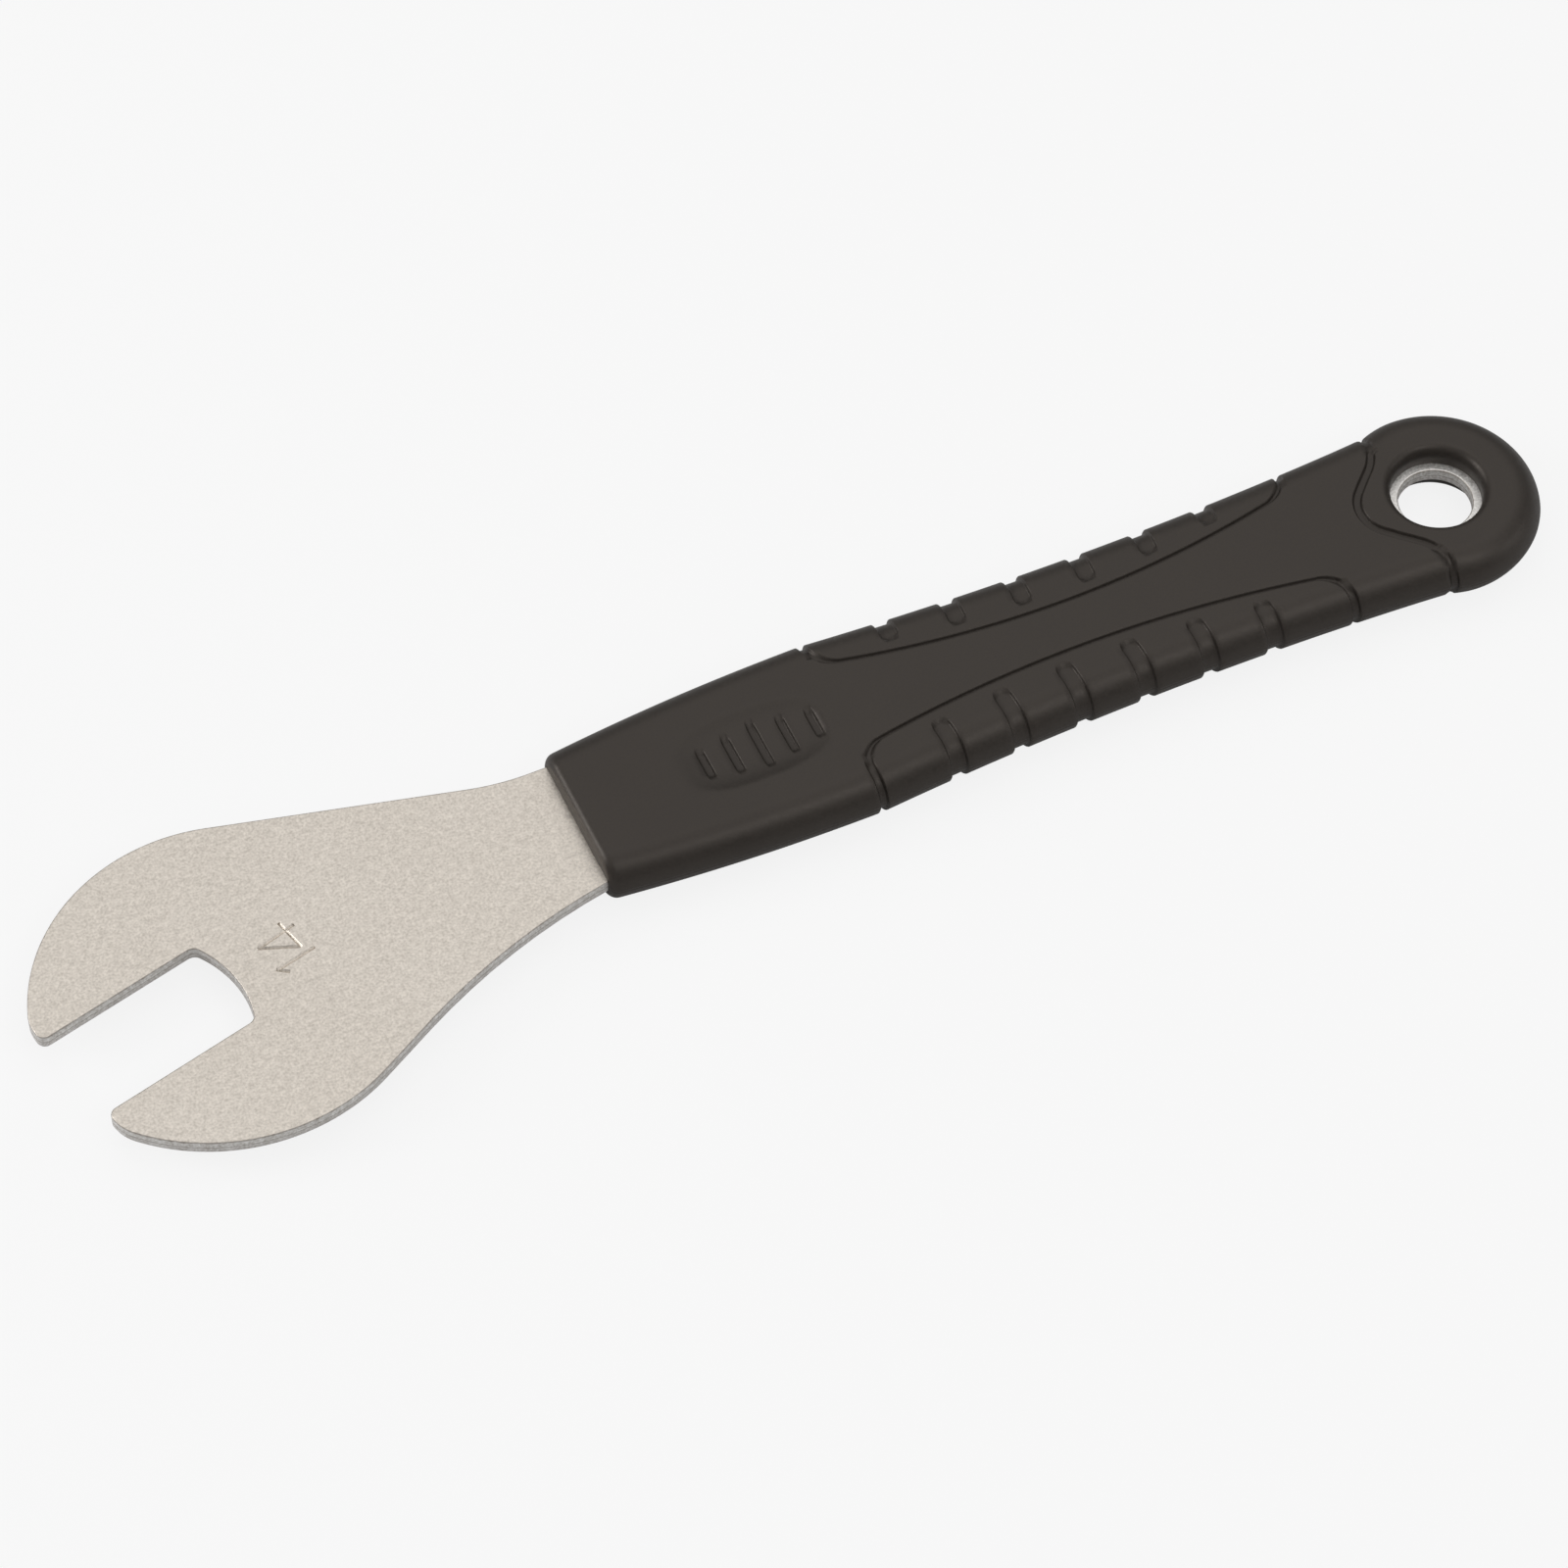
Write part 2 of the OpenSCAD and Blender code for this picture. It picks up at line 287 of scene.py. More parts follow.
def blade_face_material(grain, blotches):
    """Satin plating, and bare steel round the hang hole, painted near white: partly the steel's own
    paleness, partly painted light against the shade in the grip's recess.
    """
    material, tree, shader = new_material("satin_steel")
    specks = place_group(tree, grain, Size=2800.0, Contrast=3.2)
    tones = place_group(tree, blotches, Size=45.0, Amount=0.4)
    dark, light = (0.53, 0.485, 0.43, 1), (0.83, 0.77, 0.695, 1)
    colour = shade_between(tree, dark, light, specks.outputs["Shade"], tones.outputs["Shade"])
    spot = tree.nodes.new("ShaderNodeVectorMath")
    spot.operation = "LENGTH"
    tree.links.new(tree.nodes.new("ShaderNodeTexCoord").outputs["Object"], spot.inputs[0])
    ring = math_node(tree, "LESS_THAN", spot.outputs["Value"], BARE_LIT_RING_R * MM)
    # Painted light: the steel round the hang hole is near white to make up for the shade in the grip's
    # recess
    bare_lit_steel = mix_colour(tree, specks.outputs["Shade"], (0.62, 0.6, 0.57, 1), (1.0, 0.98, 0.95, 1))
    tree.links.new(mix_colour(tree, ring, colour, bare_lit_steel), shader.inputs["Base Color"])
    shader.inputs["Metallic"].default_value = 1.0
    rough = math_node(tree, "ADD", math_node(tree, "MULTIPLY", specks.outputs["Shade"], 0.16), 0.4)
    tree.links.new(rough, shader.inputs["Roughness"])
    tree.links.new(bump(tree, specks.outputs["Height"], 1.0, 0.00004), shader.inputs["Normal"])
    return material


def blade_wall_material(grain):
    """The sheared wall: light, partly as a painted reflection of the pale floor, with a dull line at half
    height, and painted shade where it rolls into a face.
    """
    material, tree, shader = new_material("sheared_steel")
    specks = place_group(tree, grain, Size=3000.0, Contrast=2.6)
    place = tree.nodes.new("ShaderNodeTexCoord").outputs["Object"]
    split = tree.nodes.new("ShaderNodeSeparateXYZ")
    tree.links.new(place, split.inputs[0])
    level = math_node(tree, "ADD", math_node(tree, "MULTIPLY", split.outputs["Z"], 1 / (PLATE_T * MM)), 0.5)
    waver = math_node(tree, "MULTIPLY", math_node(tree, "SUBTRACT", noise(tree, 900.0, 2), 0.5), 0.16)
    ramp = tree.nodes.new("ShaderNodeValToRGB")
    # Painted light in these bands: the near-white rows also stand in for the pale floor's reflection, and
    # the dark rows at both ends paint the shade on the rolled edges; the dull row at half height is the
    # shear's own line
    wall_bands_and_painted_light = [
        (0.02, (0.40, 0.37, 0.34, 1)),
        (0.10, (0.88, 0.86, 0.84, 1)),
        (0.42, (0.94, 0.92, 0.90, 1)),
        (0.48, (0.55, 0.52, 0.49, 1)),
        (0.55, (0.97, 0.96, 0.94, 1)),
        (0.86, (0.97, 0.96, 0.94, 1)),
        (0.97, (0.50, 0.46, 0.42, 1)),
    ]
    ramp.color_ramp.elements[0].position = wall_bands_and_painted_light[0][0]
    ramp.color_ramp.elements[0].color = wall_bands_and_painted_light[0][1]
    ramp.color_ramp.elements[1].position = wall_bands_and_painted_light[-1][0]
    ramp.color_ramp.elements[1].color = wall_bands_and_painted_light[-1][1]
    for position, band in wall_bands_and_painted_light[1:-1]:
        ramp.color_ramp.elements.new(position).color = band
    tree.links.new(math_node(tree, "ADD", level, waver), ramp.inputs["Fac"])
    speckled = mix_colour(tree, specks.outputs["Shade"], (0.5, 0.47, 0.44, 1), (1.0, 1.0, 1.0, 1))
    colour = mix_colour(tree, 1.0, ramp.outputs["Color"], speckled, "MULTIPLY")
    tree.links.new(colour, shader.inputs["Base Color"])
    shader.inputs["Metallic"].default_value = 0.3
    shader.inputs["Roughness"].default_value = 0.4
    tree.links.new(bump(tree, specks.outputs["Height"], 0.6, 0.00004), shader.inputs["Normal"])
    return material


def rubber_material(grain, blotches):
    material, tree, shader = new_material("grip_rubber")
    specks = place_group(tree, grain, Size=2600.0, Contrast=1.8)
    tones = place_group(tree, blotches, Size=70.0, Amount=0.6)
    dark, light = (0.015, 0.0125, 0.0105, 1), (0.026, 0.0215, 0.018, 1)
    colour = shade_between(tree, dark, light, specks.outputs["Shade"], tones.outputs["Shade"])
    tree.links.new(colour, shader.inputs["Base Color"])
    rough = math_node(tree, "ADD", math_node(tree, "MULTIPLY", specks.outputs["Shade"], 0.16), 0.38)
    tree.links.new(rough, shader.inputs["Roughness"])
    shader.inputs["Specular Tint"].default_value = (1.0, 0.9, 0.82, 1)
    tree.links.new(bump(tree, specks.outputs["Height"], 0.5, 0.00004), shader.inputs["Normal"])
    return material


# The blade


def flank(drop, tilt, back_rise, crown_set, neck_half, slope, neck_r):
    """One side of the blade, from the tang's shoulder round the back of a jaw to its flat."""
    head = Vector((HEAD.x, drop))
    back_r = CROWN_H + back_rise
    back = head + turned((crown_set, -back_rise), radians(tilt))
    nose_angle = 180 - degrees(asin((NOSE_HALF + back_rise) / (back_r - NOSE_R)))
    nose_turn = radians(nose_angle + tilt)
    nose = back + (back_r - NOSE_R) * Vector((cos(nose_turn), sin(nose_turn)))
    level = turned(nose - head, -radians(tilt)).x
    tip = head + turned((level - NOSE_R + TIP_R, JAW_HALF + TIP_R), radians(tilt))
    start = radians(90 - slope)
    reach = back.dot(Vector((cos(start), sin(start)))) + back_r + neck_r
    neck = ((reach - (neck_half + neck_r) * sin(start)) / cos(start), neck_half + neck_r)
    shoulder_x = max(neck[0], FRONT) + NECK_RUN
    return (
        [Vector((shoulder_x + neck_half - TANG_HALF, TANG_HALF)), Vector((shoulder_x, neck_half))]
        + arc(neck, neck_r, 270, 180 + degrees(start), 12)
        + arc(back, back_r, degrees(start), nose_angle + tilt, 36)
        + arc(nose, NOSE_R, nose_angle + tilt, 180 + tilt, 12)
        + arc(tip, TIP_R, 180 + tilt, 270 + tilt, 8)
    )


def jaw_root():
    """The root of the jaw, from its far corner to its near one."""
    centre = (ROOT_SET - ROOT_R, 0)
    lean = asin((JAW_HALF - ROOT_CORNER_R) / (ROOT_R - ROOT_CORNER_R))
    inner = ROOT_R - ROOT_CORNER_R
    corner = (centre[0] + inner * cos(lean), inner * sin(lean))
    half = arc(corner, ROOT_CORNER_R, 90, degrees(lean), 8) + arc(centre, ROOT_R, degrees(lean), 0, 10)
    whole = half + [Vector((p.x, -p.y)) for p in reversed(half)]
    return [HEAD + turned(p, JAW_ANGLE) for p in whole]


def blade_outline():
    far = flank(HEAD.y, 13, 1.7, -0.9, NECK_HALF, 14.5, 35)
    near = flank(-HEAD.y, -13, 3.6, 0.8, NECK_HALF - 1.3, 28.5, 95)
    eye_turn = degrees(asin(TANG_HALF / EYE_R))
    eye = arc((0, 0), EYE_R, eye_turn - 180, 180 - eye_turn, 60)
    return far + jaw_root() + [Vector((p.x, -p.y)) for p in reversed(near)] + eye


def closed_wire(bm, points, z):
    verts = []
    for p in points:
        if not verts or (verts[-1].co.xy - p).length > 0.01:
            verts.append(bm.verts.new((p.x, p.y, z)))
    return [bm.edges.new((a, b)) for a, b in zip(verts, verts[1:] + verts[:1])]


def stroke_cutter(start, end, lift):
    """A square bar that lies on its corner, which cuts a V along one stroke of the number."""
    line = Vector(end) - Vector(start)
    along = Vector((line.x, line.y, 0)).normalized()
    aside = Vector((-along.y, along.x, 0))
    bm = bmesh.new()
    bmesh.ops.create_cone(
        bm, cap_ends=True, segments=4, radius1=STROKE_R, radius2=STROKE_R, depth=line.length + 0.2
    )
    turn = Matrix((aside, (0, 0, 1), along)).transposed()
    middle = (Vector(start) + Vector(end)) / 2
    place = Matrix.Translation((middle.x, middle.y, PLATE_T / 2 + STROKE_LIFT + lift)) @ turn.to_4x4()
    bmesh.ops.transform(bm, matrix=Matrix.Scale(MM, 4) @ place, verts=bm.verts)
    mesh = bpy.data.meshes.new("stroke")
    bm.to_mesh(mesh)
    bm.free()
    cutter = bpy.data.objects.new("stroke", mesh)
    bpy.context.scene.collection.objects.link(cutter)
    return cutter


def stamp_number(piece):
    cutters = [stroke_cutter(*stroke, STROKE_STEP * i) for i, stroke in enumerate(STROKES)]
    for cutter in cutters:
        cut_out = piece.modifiers.new("stroke", "BOOLEAN")
        cut_out.operation = "DIFFERENCE"
        cut_out.solver = "EXACT"
        cut_out.object = cutter
    ready = piece.evaluated_get(bpy.context.evaluated_depsgraph_get())
    stamped = bpy.data.meshes.new_from_object(ready)
    piece.modifiers.clear()
    piece.data = stamped
    stamped.name = piece.name
    for cutter in cutters:
        bpy.data.objects.remove(cutter)


def make_blade(materials):
    bm = bmesh.new()
    outline = closed_wire(bm, blade_outline(), -PLATE_T / 2)
    hole = closed_wire(bm, arc((0, 0), HANG_HOLE_R, 0, 360 * 95 / 96, 95), -PLATE_T / 2)
    bmesh.ops.triangle_fill(bm, edges=outline + hole, use_beauty=True)
    grown = bmesh.ops.extrude_face_region(bm, geom=bm.faces[:])["geom"]
    risen = [v for v in grown if isinstance(v, bmesh.types.BMVert)]
    bmesh.ops.translate(bm, vec=(0, 0, PLATE_T), verts=risen)
    bmesh.ops.recalc_face_normals(bm, faces=bm.faces)
    bmesh.ops.dissolve_limit(bm, angle_limit=radians(0.5), verts=bm.verts, edges=bm.edges)
    rims = [
        e
        for e in bm.edges
        if len(e.link_faces) == 2
        and e.calc_face_angle() > radians(60)
        and abs(e.verts[0].co.z - e.verts[1].co.z) < 0.01
    ]
    bmesh.ops.bevel(
        bm,
        geom=rims,
        offset=EDGE_ROLL,
        segments=3,
        profile=0.5,
        affect="EDGES",
        clamp_overlap=True,
        material=-1,
    )
    for face in bm.faces:
        face.material_index = 1 if abs(face.normal.z) < 0.9 else 0
        face.smooth = abs(face.normal.z) < 0.999
    piece = finish_piece(bm, "steel_blade", materials, "blade")
    stamp_number(piece)
    return piece


# The grip's form


FOOT_HALF = sqrt(END_R ** 2 - FOOT_X ** 2)
WAIST_R = ((WAIST_X - FOOT_X) ** 2 + (FOOT_HALF - WAIST_HALF) ** 2) / (2 * (FOOT_HALF - WAIST_HALF))
BELLY_HALF = WAIST_HALF + WAIST_R - sqrt(WAIST_R ** 2 - (PANEL_FRONT - WAIST_X) ** 2)
BELLY_R = ((FRONT - PANEL_FRONT) ** 2 + (BELLY_HALF - FRONT_HALF) ** 2) / (2 * (BELLY_HALF - FRONT_HALF))
FOOT_TURN = acos(FOOT_X / END_R)
REACH = FOOT_X + END_R * FOOT_TURN
END_START = -13


def half_width(x):
    if x < PANEL_FRONT:
        return BELLY_HALF - BELLY_R + sqrt(BELLY_R ** 2 - (x - PANEL_FRONT) ** 2)
    return WAIST_HALF + WAIST_R - sqrt(WAIST_R ** 2 - (x - WAIST_X) ** 2)


def edge(s):
    """The grip's outermost point at s along its side, and the way out from it. Along the handle s is X."""
    if s <= FOOT_X:
        turn = pi / 2 + (FOOT_TURN - pi / 2) * smooth((s - END_START) / (FOOT_X - END_START))
        return Vector((s, half_width(s))), Vector((cos(turn), sin(turn)))
    turn = FOOT_TURN - (s - FOOT_X) / END_R
    out = Vector((cos(turn), sin(turn)))
    return END_R * out, out


def front_pull(s):
    """How far the form is drawn in at its rounded front edge."""
    t = min(1, max(0, (FRONT + FRONT_EDGE_R - s) / FRONT_EDGE_R))
    return FRONT_EDGE_R * (1 - sqrt(1 - t * t))


def panel_gap(x, half):
    return half.gap + half.r - sqrt(half.r ** 2 - (x - half.middle) ** 2)


def from_panel(x, y, half, side, ends):
    """Distance outside a side panel that is made larger by side along it and by ends at its ends."""
    corner = PANEL_CORNER_R + side
    across = hypot(x - half.middle, y - half.gap - half.r) - (half.r + side - corner)
    along = max(PANEL_FRONT - ends + corner - x, x - PANEL_BACK - ends + corner)
    if across > 0 and along > 0:
        return hypot(across, along) - corner
    return max(across, along) - corner


def bow_path(foot):
    """Middle line of the groove round the hole, from its tip to the side."""
    bend_x = foot - FOOT_R
    bend_y = (BOW_R + FOOT_R + (bend_x - BOW_X) * cos(radians(45))) / sin(radians(45))
    return (
        arc((BOW_X, 0), BOW_R, 180, 135, 14)
        + arc((bend_x, bend_y), FOOT_R, -45, 0, 14)
        + [Vector((foot, 2 * END_R))]
    )


BOWS = {FAR: bow_path(FAR.foot), NEAR: bow_path(NEAR.foot)}


def from_bow(p, half):
    best = 100.0
    bow = BOWS[half]
    for a, b in zip(bow, bow[1:]):
        line = b - a
        t = min(1, max(0, (p - a).dot(line) / line.length_squared))
        best = min(best, (p - a - t * line).length)
    return best


def bow_crossing(ray, half):
    """How far from the hole's centre a ray crosses the middle line of the groove."""
    bow = BOWS[half]
    for a, b in zip(bow, bow[1:]):
        line = b - a
        bend = ray.x * line.y - ray.y * line.x
        if abs(bend) < 1e-9:
            continue
        share = (a.x * ray.y - a.y * ray.x) / bend
        if -1e-6 <= share <= 1 + 1e-6:
            reach = (a + share * line).dot(ray)
            if reach > 0:
                return reach
    return 100.0


def from_slot(x, y, half):
    middle = min(SLOTS, key=lambda s: abs(s - x))
    inner = panel_gap(middle, half) + SLOT_LAND + SLOT_HALF
    return hypot(x - middle, min(0, y - inner)) - SLOT_HALF


def sunk(distance, depth):
    """Depth at a distance from the rim of a cut, with soft edges."""
    return depth * (1 - smooth((distance + SOFT) / (2 * SOFT)))


def rest_dip(x, y):
    """Depth of the thumb rest, a pan with a blunt front end and a soft rim, and of the notches in it."""
    along = abs(x - REST_X) / REST_HALF_L
    across = abs(y) / REST_HALF_W
    power = REST_FRONT_POWER if x < REST_X else REST_BACK_POWER
    share = (along ** power + across ** power) ** (1 / power)
    dip = REST_DEPTH * (1 - share ** REST_STEEP)
    dip = 0.5 * (dip + sqrt(dip * dip + 0.004)) - 0.003
    for place, span in NOTCHES:
        gap = hypot(x - REST_X - place, max(0, abs(y) - span / 2)) - NOTCH_HALF
        dip += sunk(gap, NOTCH_DEPTH)
    return max(0, dip)


def cut(p, half):
    """How far the surface is sunk below the grip's plain form at a point of its plan."""
    x, y = p.x, abs(p.y)
    if x < PANEL_FRONT - 2:
        return rest_dip(x, y) if abs(x - REST_X) < REST_HALF_L + 1.5 and y < REST_HALF_W + 1.5 else 0
    if x > PANEL_BACK + 2:
        return sunk(from_bow(p, half) - CROSS_HALF, CUT_DEPTH) if x < FOOT_X + 2.5 else 0
    outer = from_panel(x, y, half, GROOVE_HALF, CROSS_HALF)
    inner = from_panel(x, y, half, -GROOVE_HALF, -CROSS_HALF)
    return max(sunk(max(outer, -inner), CUT_DEPTH), sunk(from_slot(x, y, half), CUT_DEPTH))


def stations(start, end, fill, edges, fine=()):
    """Places from start to end, at most fill apart, and closer at the edges of cuts and in fine spans."""
    near = [e + o * SOFT for e in edges for o in (-1.1, -0.6, -0.2, 0.2, 0.6, 1.1)]
    kept = [start]
    for place in sorted(near) + [end]:
        if place <= start or place > end:
            continue
        if place - kept[-1] < 0.05 and place != end:
            continue
        first = kept[-1]
        tight = any(low < (place + first) / 2 < high for low, high in fine)
        steps = int((place - first) / (FINE_FILL if tight else fill)) + 1
        kept += [first + (place - first) * (i + 1) / steps for i in range(steps)]
    return kept


def side_shares(turn):
    """How far out and how far up the rounded side stands at a turn from its top, each as a share."""
    reach = sin(turn) / sin(PARTING_TURN)
    rise = (cos(turn) - cos(PARTING_TURN)) / (1 - cos(PARTING_TURN))
    return reach, rise


def parting_dip(rise):
    return PARTING_DEPTH * max(0, 1 - rise * HALF_T / PARTING_H)


def patch(bm, columns, rows, place):
    """A sheet of columns by rows faces, whose corners place puts where they belong."""
    made = bmesh.ops.create_grid(bm, x_segments=columns, y_segments=rows, size=1)["verts"]
    for vert in made:
        column = round((vert.co.x + 1) / 2 * columns)
        row = round((vert.co.y + 1) / 2 * rows)
        vert.co = place(column, row)


def make_half(half):
    """The upper surface of one half of the grip, drawn as if it were the far one."""
    bm = bmesh.new()
    cross_edges = [c + o for c in (PANEL_FRONT, PANEL_BACK) for o in (-CROSS_HALF, CROSS_HALF)]
    slot_edges = [s + o for s in SLOTS for o in (-SLOT_HALF, SLOT_HALF)]
    notch_edges = [REST_X + n[0] + o for n in NOTCHES for o in (-NOTCH_HALF, NOTCH_HALF)]
    low, high = CORNER_SPAN
    corners = (PANEL_FRONT + low, PANEL_FRONT + high, PANEL_BACK - high, PANEL_BACK - low)
    front_places = [FRONT + FRONT_EDGE_R * (1 - cos(radians(a))) for a in range(0, 90, 10)]
    handle = front_places + stations(
        FRONT + FRONT_EDGE_R,
        END_START,
        FILL,
        cross_edges + slot_edges + notch_edges + list(corners),
        (corners[:2], corners[2:]),
    )
    end = stations(END_START, REACH, END_FILL, [half.foot - CROSS_HALF, half.foot + CROSS_HALF])
    along = handle + end[1:]
    rounds = [PARTING_TURN * i / 17 for i in range(17)]
    rounds += [PARTING_TURN * share for share in (0.97, 0.985, 1)]

    def side(column, row):
        s = along[column]
        rim, out = edge(s)
        reach, rise = side_shares(rounds[row])
        plan = rim - out * HALF_T * (1 - reach)
        r = HALF_T - front_pull(s) - cut(plan, half) - parting_dip(rise)
        flat = rim - out * HALF_T + out * r * reach
        return (flat.x, flat.y, r * rise)

    patch(bm, len(along) - 1, len(rounds) - 1, side)

    inner_rows = 16
    groove_rows = [-GROOVE_BAND, -0.32, -0.2, -0.1, 0, 0.1, 0.2, 0.32, GROOVE_BAND]
    outer_rows = 12

    def handle_rows(x):
        """Where the rows of the flat cross the line at x, from the middle to where the side rounds off."""
        limit = half_width(x) - HALF_T
        clamped = min(PANEL_BACK, max(PANEL_FRONT, x))
        line = panel_gap(clamped, half) * limit / (half_width(clamped) - HALF_T)
        low, high = line - GROOVE_BAND, line + GROOVE_BAND
        inner = [low * i / inner_rows for i in range(inner_rows)]
        middle = [line + o for o in groove_rows]
        outer = [high + (limit - high) * (i + 1) / outer_rows for i in range(outer_rows)]
        return inner + middle + outer

    row_places = [handle_rows(x) for x in handle]

    def flat(column, row):
        x = handle[column]
        y = row_places[column][row]
        return (x, y, HALF_T - front_pull(x) - cut(Vector((x, y)), half))

    patch(bm, len(handle) - 1, len(row_places[0]) - 1, flat)

    # The flat round the hole, from its bare ring out to the rounded side
    rim_line = [Vector((END_START, y)) for y in row_places[-1]]
    for s in end[1:]:
        point, out = edge(s)
        rim_line.append(point - out * HALF_T)
    mouth = [(HOLE_R, PLATE_T / 2 - 0.1), (HOLE_R, 1.7)]
    mouth += [
        (HOLE_R + MOUTH_R * (1 - cos(radians(a))), HALF_T - MOUTH_H * (1 - sin(radians(a))))
        for a in range(0, 91, 10)
    ]
    mouth_top = HOLE_R + MOUTH_R
    near_groove = [0.08 * i for i in range(-12, 13)]
    inner_rings, outer_rings = 9, 7

    def ring_places(ray, reach):
        """Distances of the rings from the hole's centre along a ray, close together at the groove."""
        crossing = min(reach, bow_crossing(ray, half))
        low = max(mouth_top + 0.3, crossing + near_groove[0])
        rings = [mouth_top + (low - mouth_top) * (i + 1) / inner_rings for i in range(inner_rings)]
        rings += [min(reach, max(low, crossing + o)) for o in near_groove[1:]]
        high = rings[-1]
        return rings + [high + (reach - high) * (i + 1) / outer_rings for i in range(outer_rings)]

    def around(column, row):
        goal = rim_line[column]
        turn = atan2(goal.y, goal.x)
        ray = Vector((cos(turn), sin(turn)))
        if row < len(mouth):
            spot = ray * mouth[row][0]
            return (spot.x, spot.y, mouth[row][1])
        spot = ray * rings[column][row - len(mouth)]
        return (spot.x, spot.y, HALF_T - cut(spot, half))

    rings = [ring_places(p.normalized(), p.length) for p in rim_line]
    patch(bm, len(rim_line) - 1, len(mouth) + len(rings[0]) - 1, around)

    # The front face, from its rounded edge to the slot that the blade comes out of
    pocket_y = NECK_HALF + POCKET_GAP
    pocket_z = PLATE_T / 2 + POCKET_GAP
    section = [(y, HALF_T - FRONT_EDGE_R) for y in row_places[0]]
    for turn in rounds[1:]:
        reach, rise = side_shares(turn)
        r = HALF_T - FRONT_EDGE_R - parting_dip(rise)
        section.append((half_width(FRONT) - HALF_T + r * reach, r * rise))

    def face(column, row):
        y, z = section[column]
        goal_z = pocket_z if y < pocket_y else min(z, pocket_z)
        goal_y = min(y, pocket_y)
        if row == 3:
            return (FRONT + POCKET_DEPTH, goal_y, goal_z)
        share = row / 2
        return (FRONT, y + (goal_y - y) * share, z + (goal_z - z) * share)

    patch(bm, len(section) - 1, 3, face)

    # The cuts lean back a little towards the sides
    for vert in bm.verts:
        x = vert.co.x
        here = smooth((x - LEAN_START) / LEAN_RISE) * (1 - smooth((x - LEAN_END) / LEAN_FALL))
        vert.co.x += LEAN * max(0, vert.co.y - LEAN_FROM) * here
    return bm


def make_grip(materials):
    """Both halves, joined along the middle line and mirrored to the underside."""
    bm = make_half(FAR)
    near = make_half(NEAR)
    bmesh.ops.scale(near, vec=(1, -1, 1), verts=near.verts)
    near_mesh = bpy.data.meshes.new("near")
    near.to_mesh(near_mesh)
    near.free()
    bm.from_mesh(near_mesh)
    bpy.data.meshes.remove(near_mesh)
    bmesh.ops.remove_doubles(bm, verts=bm.verts, dist=0.002)
    bmesh.ops.mirror(bm, geom=bm.verts[:] + bm.edges[:] + bm.faces[:], axis="Z", merge_dist=0.002)
    bmesh.ops.recalc_face_normals(bm, faces=bm.faces)
    top = max(bm.faces, key=lambda f: f.calc_center_median().z)
    if top.normal.z < 0:
        bmesh.ops.reverse_faces(bm, faces=bm.faces)
    crease = [e for e in bm.edges if abs(e.verts[0].co.z) < 0.001 and abs(e.verts[1].co.z) < 0.001]
    for line in crease:
        line.smooth = False
    for polygon in bm.faces:
        polygon.smooth = True
    return finish_piece(bm, "rubber_grip", materials, "grip")


# The studio

FLOOR_GAP = 0.05
SKY_LOW = 0.12
SKY_RISE = 0.5
FLOOR_SEEN = 0.85
FLOOR_SHONE = 0.1


def make_floor(level):
    """A pale floor that the camera and glossy surfaces see whiter, with the object's shadow kept."""
    bm = bmesh.new()
    bmesh.ops.create_grid(bm, x_segments=1, y_segments=1, size=3)
    bmesh.ops.translate(bm, vec=(0, 0, level), verts=bm.verts)
    mesh = bpy.data.meshes.new("floor")
    bm.to_mesh(mesh)
    bm.free()
    material, tree, shader = new_material("studio_floor")
    shader.inputs["Base Color"].default_value = (0.62, 0.62, 0.62, 1)
    shader.inputs["Roughness"].default_value = 0.9
    shader.inputs["Specular IOR Level"].default_value = 0.1
    glow = tree.nodes.new("ShaderNodeEmission")
    path = tree.nodes.new("ShaderNodeLightPath")
    seen = math_node(tree, "MULTIPLY", path.outputs["Is Camera Ray"], FLOOR_SEEN)
    shone = math_node(tree, "MAXIMUM", path.outputs["Is Glossy Ray"], path.outputs["Is Transmission Ray"])
    share = math_node(tree, "ADD", seen, math_node(tree, "MULTIPLY", shone, FLOOR_SHONE))
    blend = tree.nodes.new("ShaderNodeMixShader")
    tree.links.new(share, blend.inputs[0])
    tree.links.new(shader.outputs[0], blend.inputs[1])
    tree.links.new(glow.outputs[0], blend.inputs[2])
    tree.links.new(blend.outputs[0], tree.nodes["Material Output"].inputs["Surface"])
    mesh.materials.append(material)
    floor = bpy.data.objects.new("floor", mesh)
    bpy.context.scene.collection.objects.link(floor)


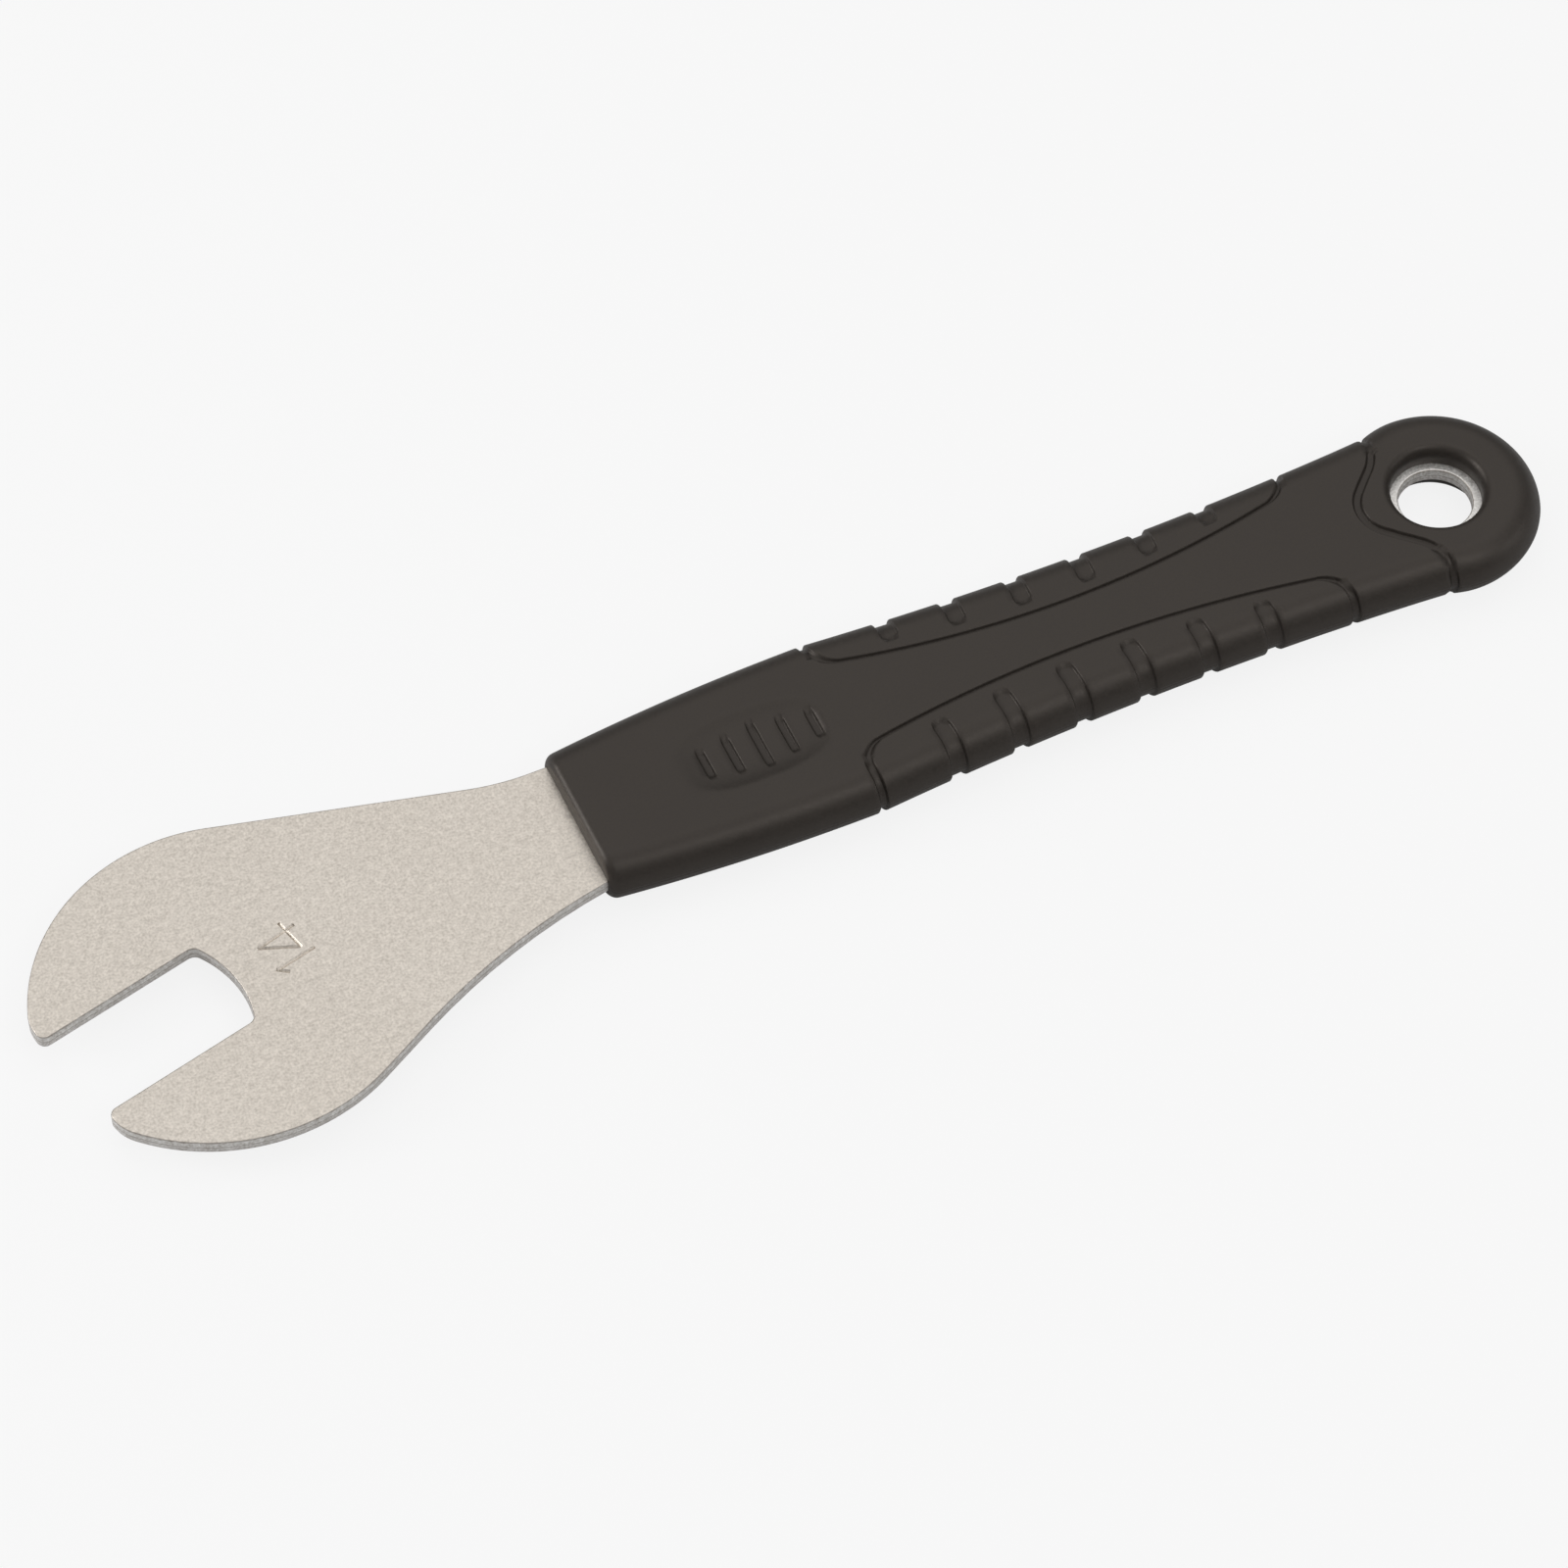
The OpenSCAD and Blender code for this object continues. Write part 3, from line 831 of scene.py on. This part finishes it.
def make_world():
    """Soft light that fades towards the horizon, and white where the camera looks past the floor."""
    world = bpy.data.worlds.new("studio")
    world.use_nodes = True
    tree = world.node_tree
    back = tree.nodes["Background"]
    back.inputs["Color"].default_value = (1, 1, 1, 1)
    height = tree.nodes.new("ShaderNodeSeparateXYZ")
    tree.links.new(tree.nodes.new("ShaderNodeTexCoord").outputs["Generated"], height.inputs[0])
    rise = math_node(tree, "MULTIPLY", math_node(tree, "MAXIMUM", height.outputs["Z"], 0.0), SKY_RISE)
    path = tree.nodes.new("ShaderNodeLightPath")
    level = math_node(tree, "ADD", math_node(tree, "ADD", rise, SKY_LOW), path.outputs["Is Camera Ray"])
    tree.links.new(level, back.inputs["Strength"])
    bpy.context.scene.world = world


def make_lamp(name, place, target, size, power):
    lamp = bpy.data.lights.new(name, "AREA")
    lamp.shape = "RECTANGLE"
    lamp.size, lamp.size_y = size
    lamp.energy = power
    holder = bpy.data.objects.new(name, lamp)
    holder.location = place
    holder.rotation_euler = (Vector(target) - Vector(place)).to_track_quat("-Z", "Y").to_euler()
    bpy.context.scene.collection.objects.link(holder)


def make_camera():
    """The photograph's camera: above the near side, to the left, through a long lens."""
    right = Vector((0.9080, -0.4190, 0)).normalized()
    ahead = Vector((0.2395, 0.5189, -0.8206)).normalized()
    up = right.cross(ahead)
    lens = bpy.data.cameras.new("camera")
    lens.sensor_width = 36
    lens.lens = 146.2
    lens.clip_start = 0.01
    camera = bpy.data.objects.new("camera", lens)
    turn = Matrix((right, up, -ahead)).transposed()
    camera.matrix_world = Matrix.Translation((-0.3017, -0.4419, 0.6910)) @ turn.to_4x4()
    bpy.context.scene.collection.objects.link(camera)
    bpy.context.scene.camera = camera


grain = grain_group()
blotches = blotch_group()
make_blade([blade_face_material(grain, blotches), blade_wall_material(grain)])
make_grip([rubber_material(grain, blotches)])
make_floor((-HALF_T - FLOOR_GAP) * MM)
make_world()
make_lamp("top", (0.2, 0.5, 1.2), (-0.1, 0, 0), (1.8, 1.4), 4.5)
make_lamp("front", (0.15, -0.62, 0.80), (-0.1, 0, 0), (0.6, 0.3), 1.7)
make_lamp("right", (0.96, -0.6, 0.41), (-0.1, 0, 0), (0.4, 0.3), 1.1)
make_lamp("side", (-1.0, 0.45, 0.4), (-0.1, 0, 0), (0.5, 0.4), 5.0)
make_camera()
bpy.context.scene.view_settings.view_transform = "Standard"
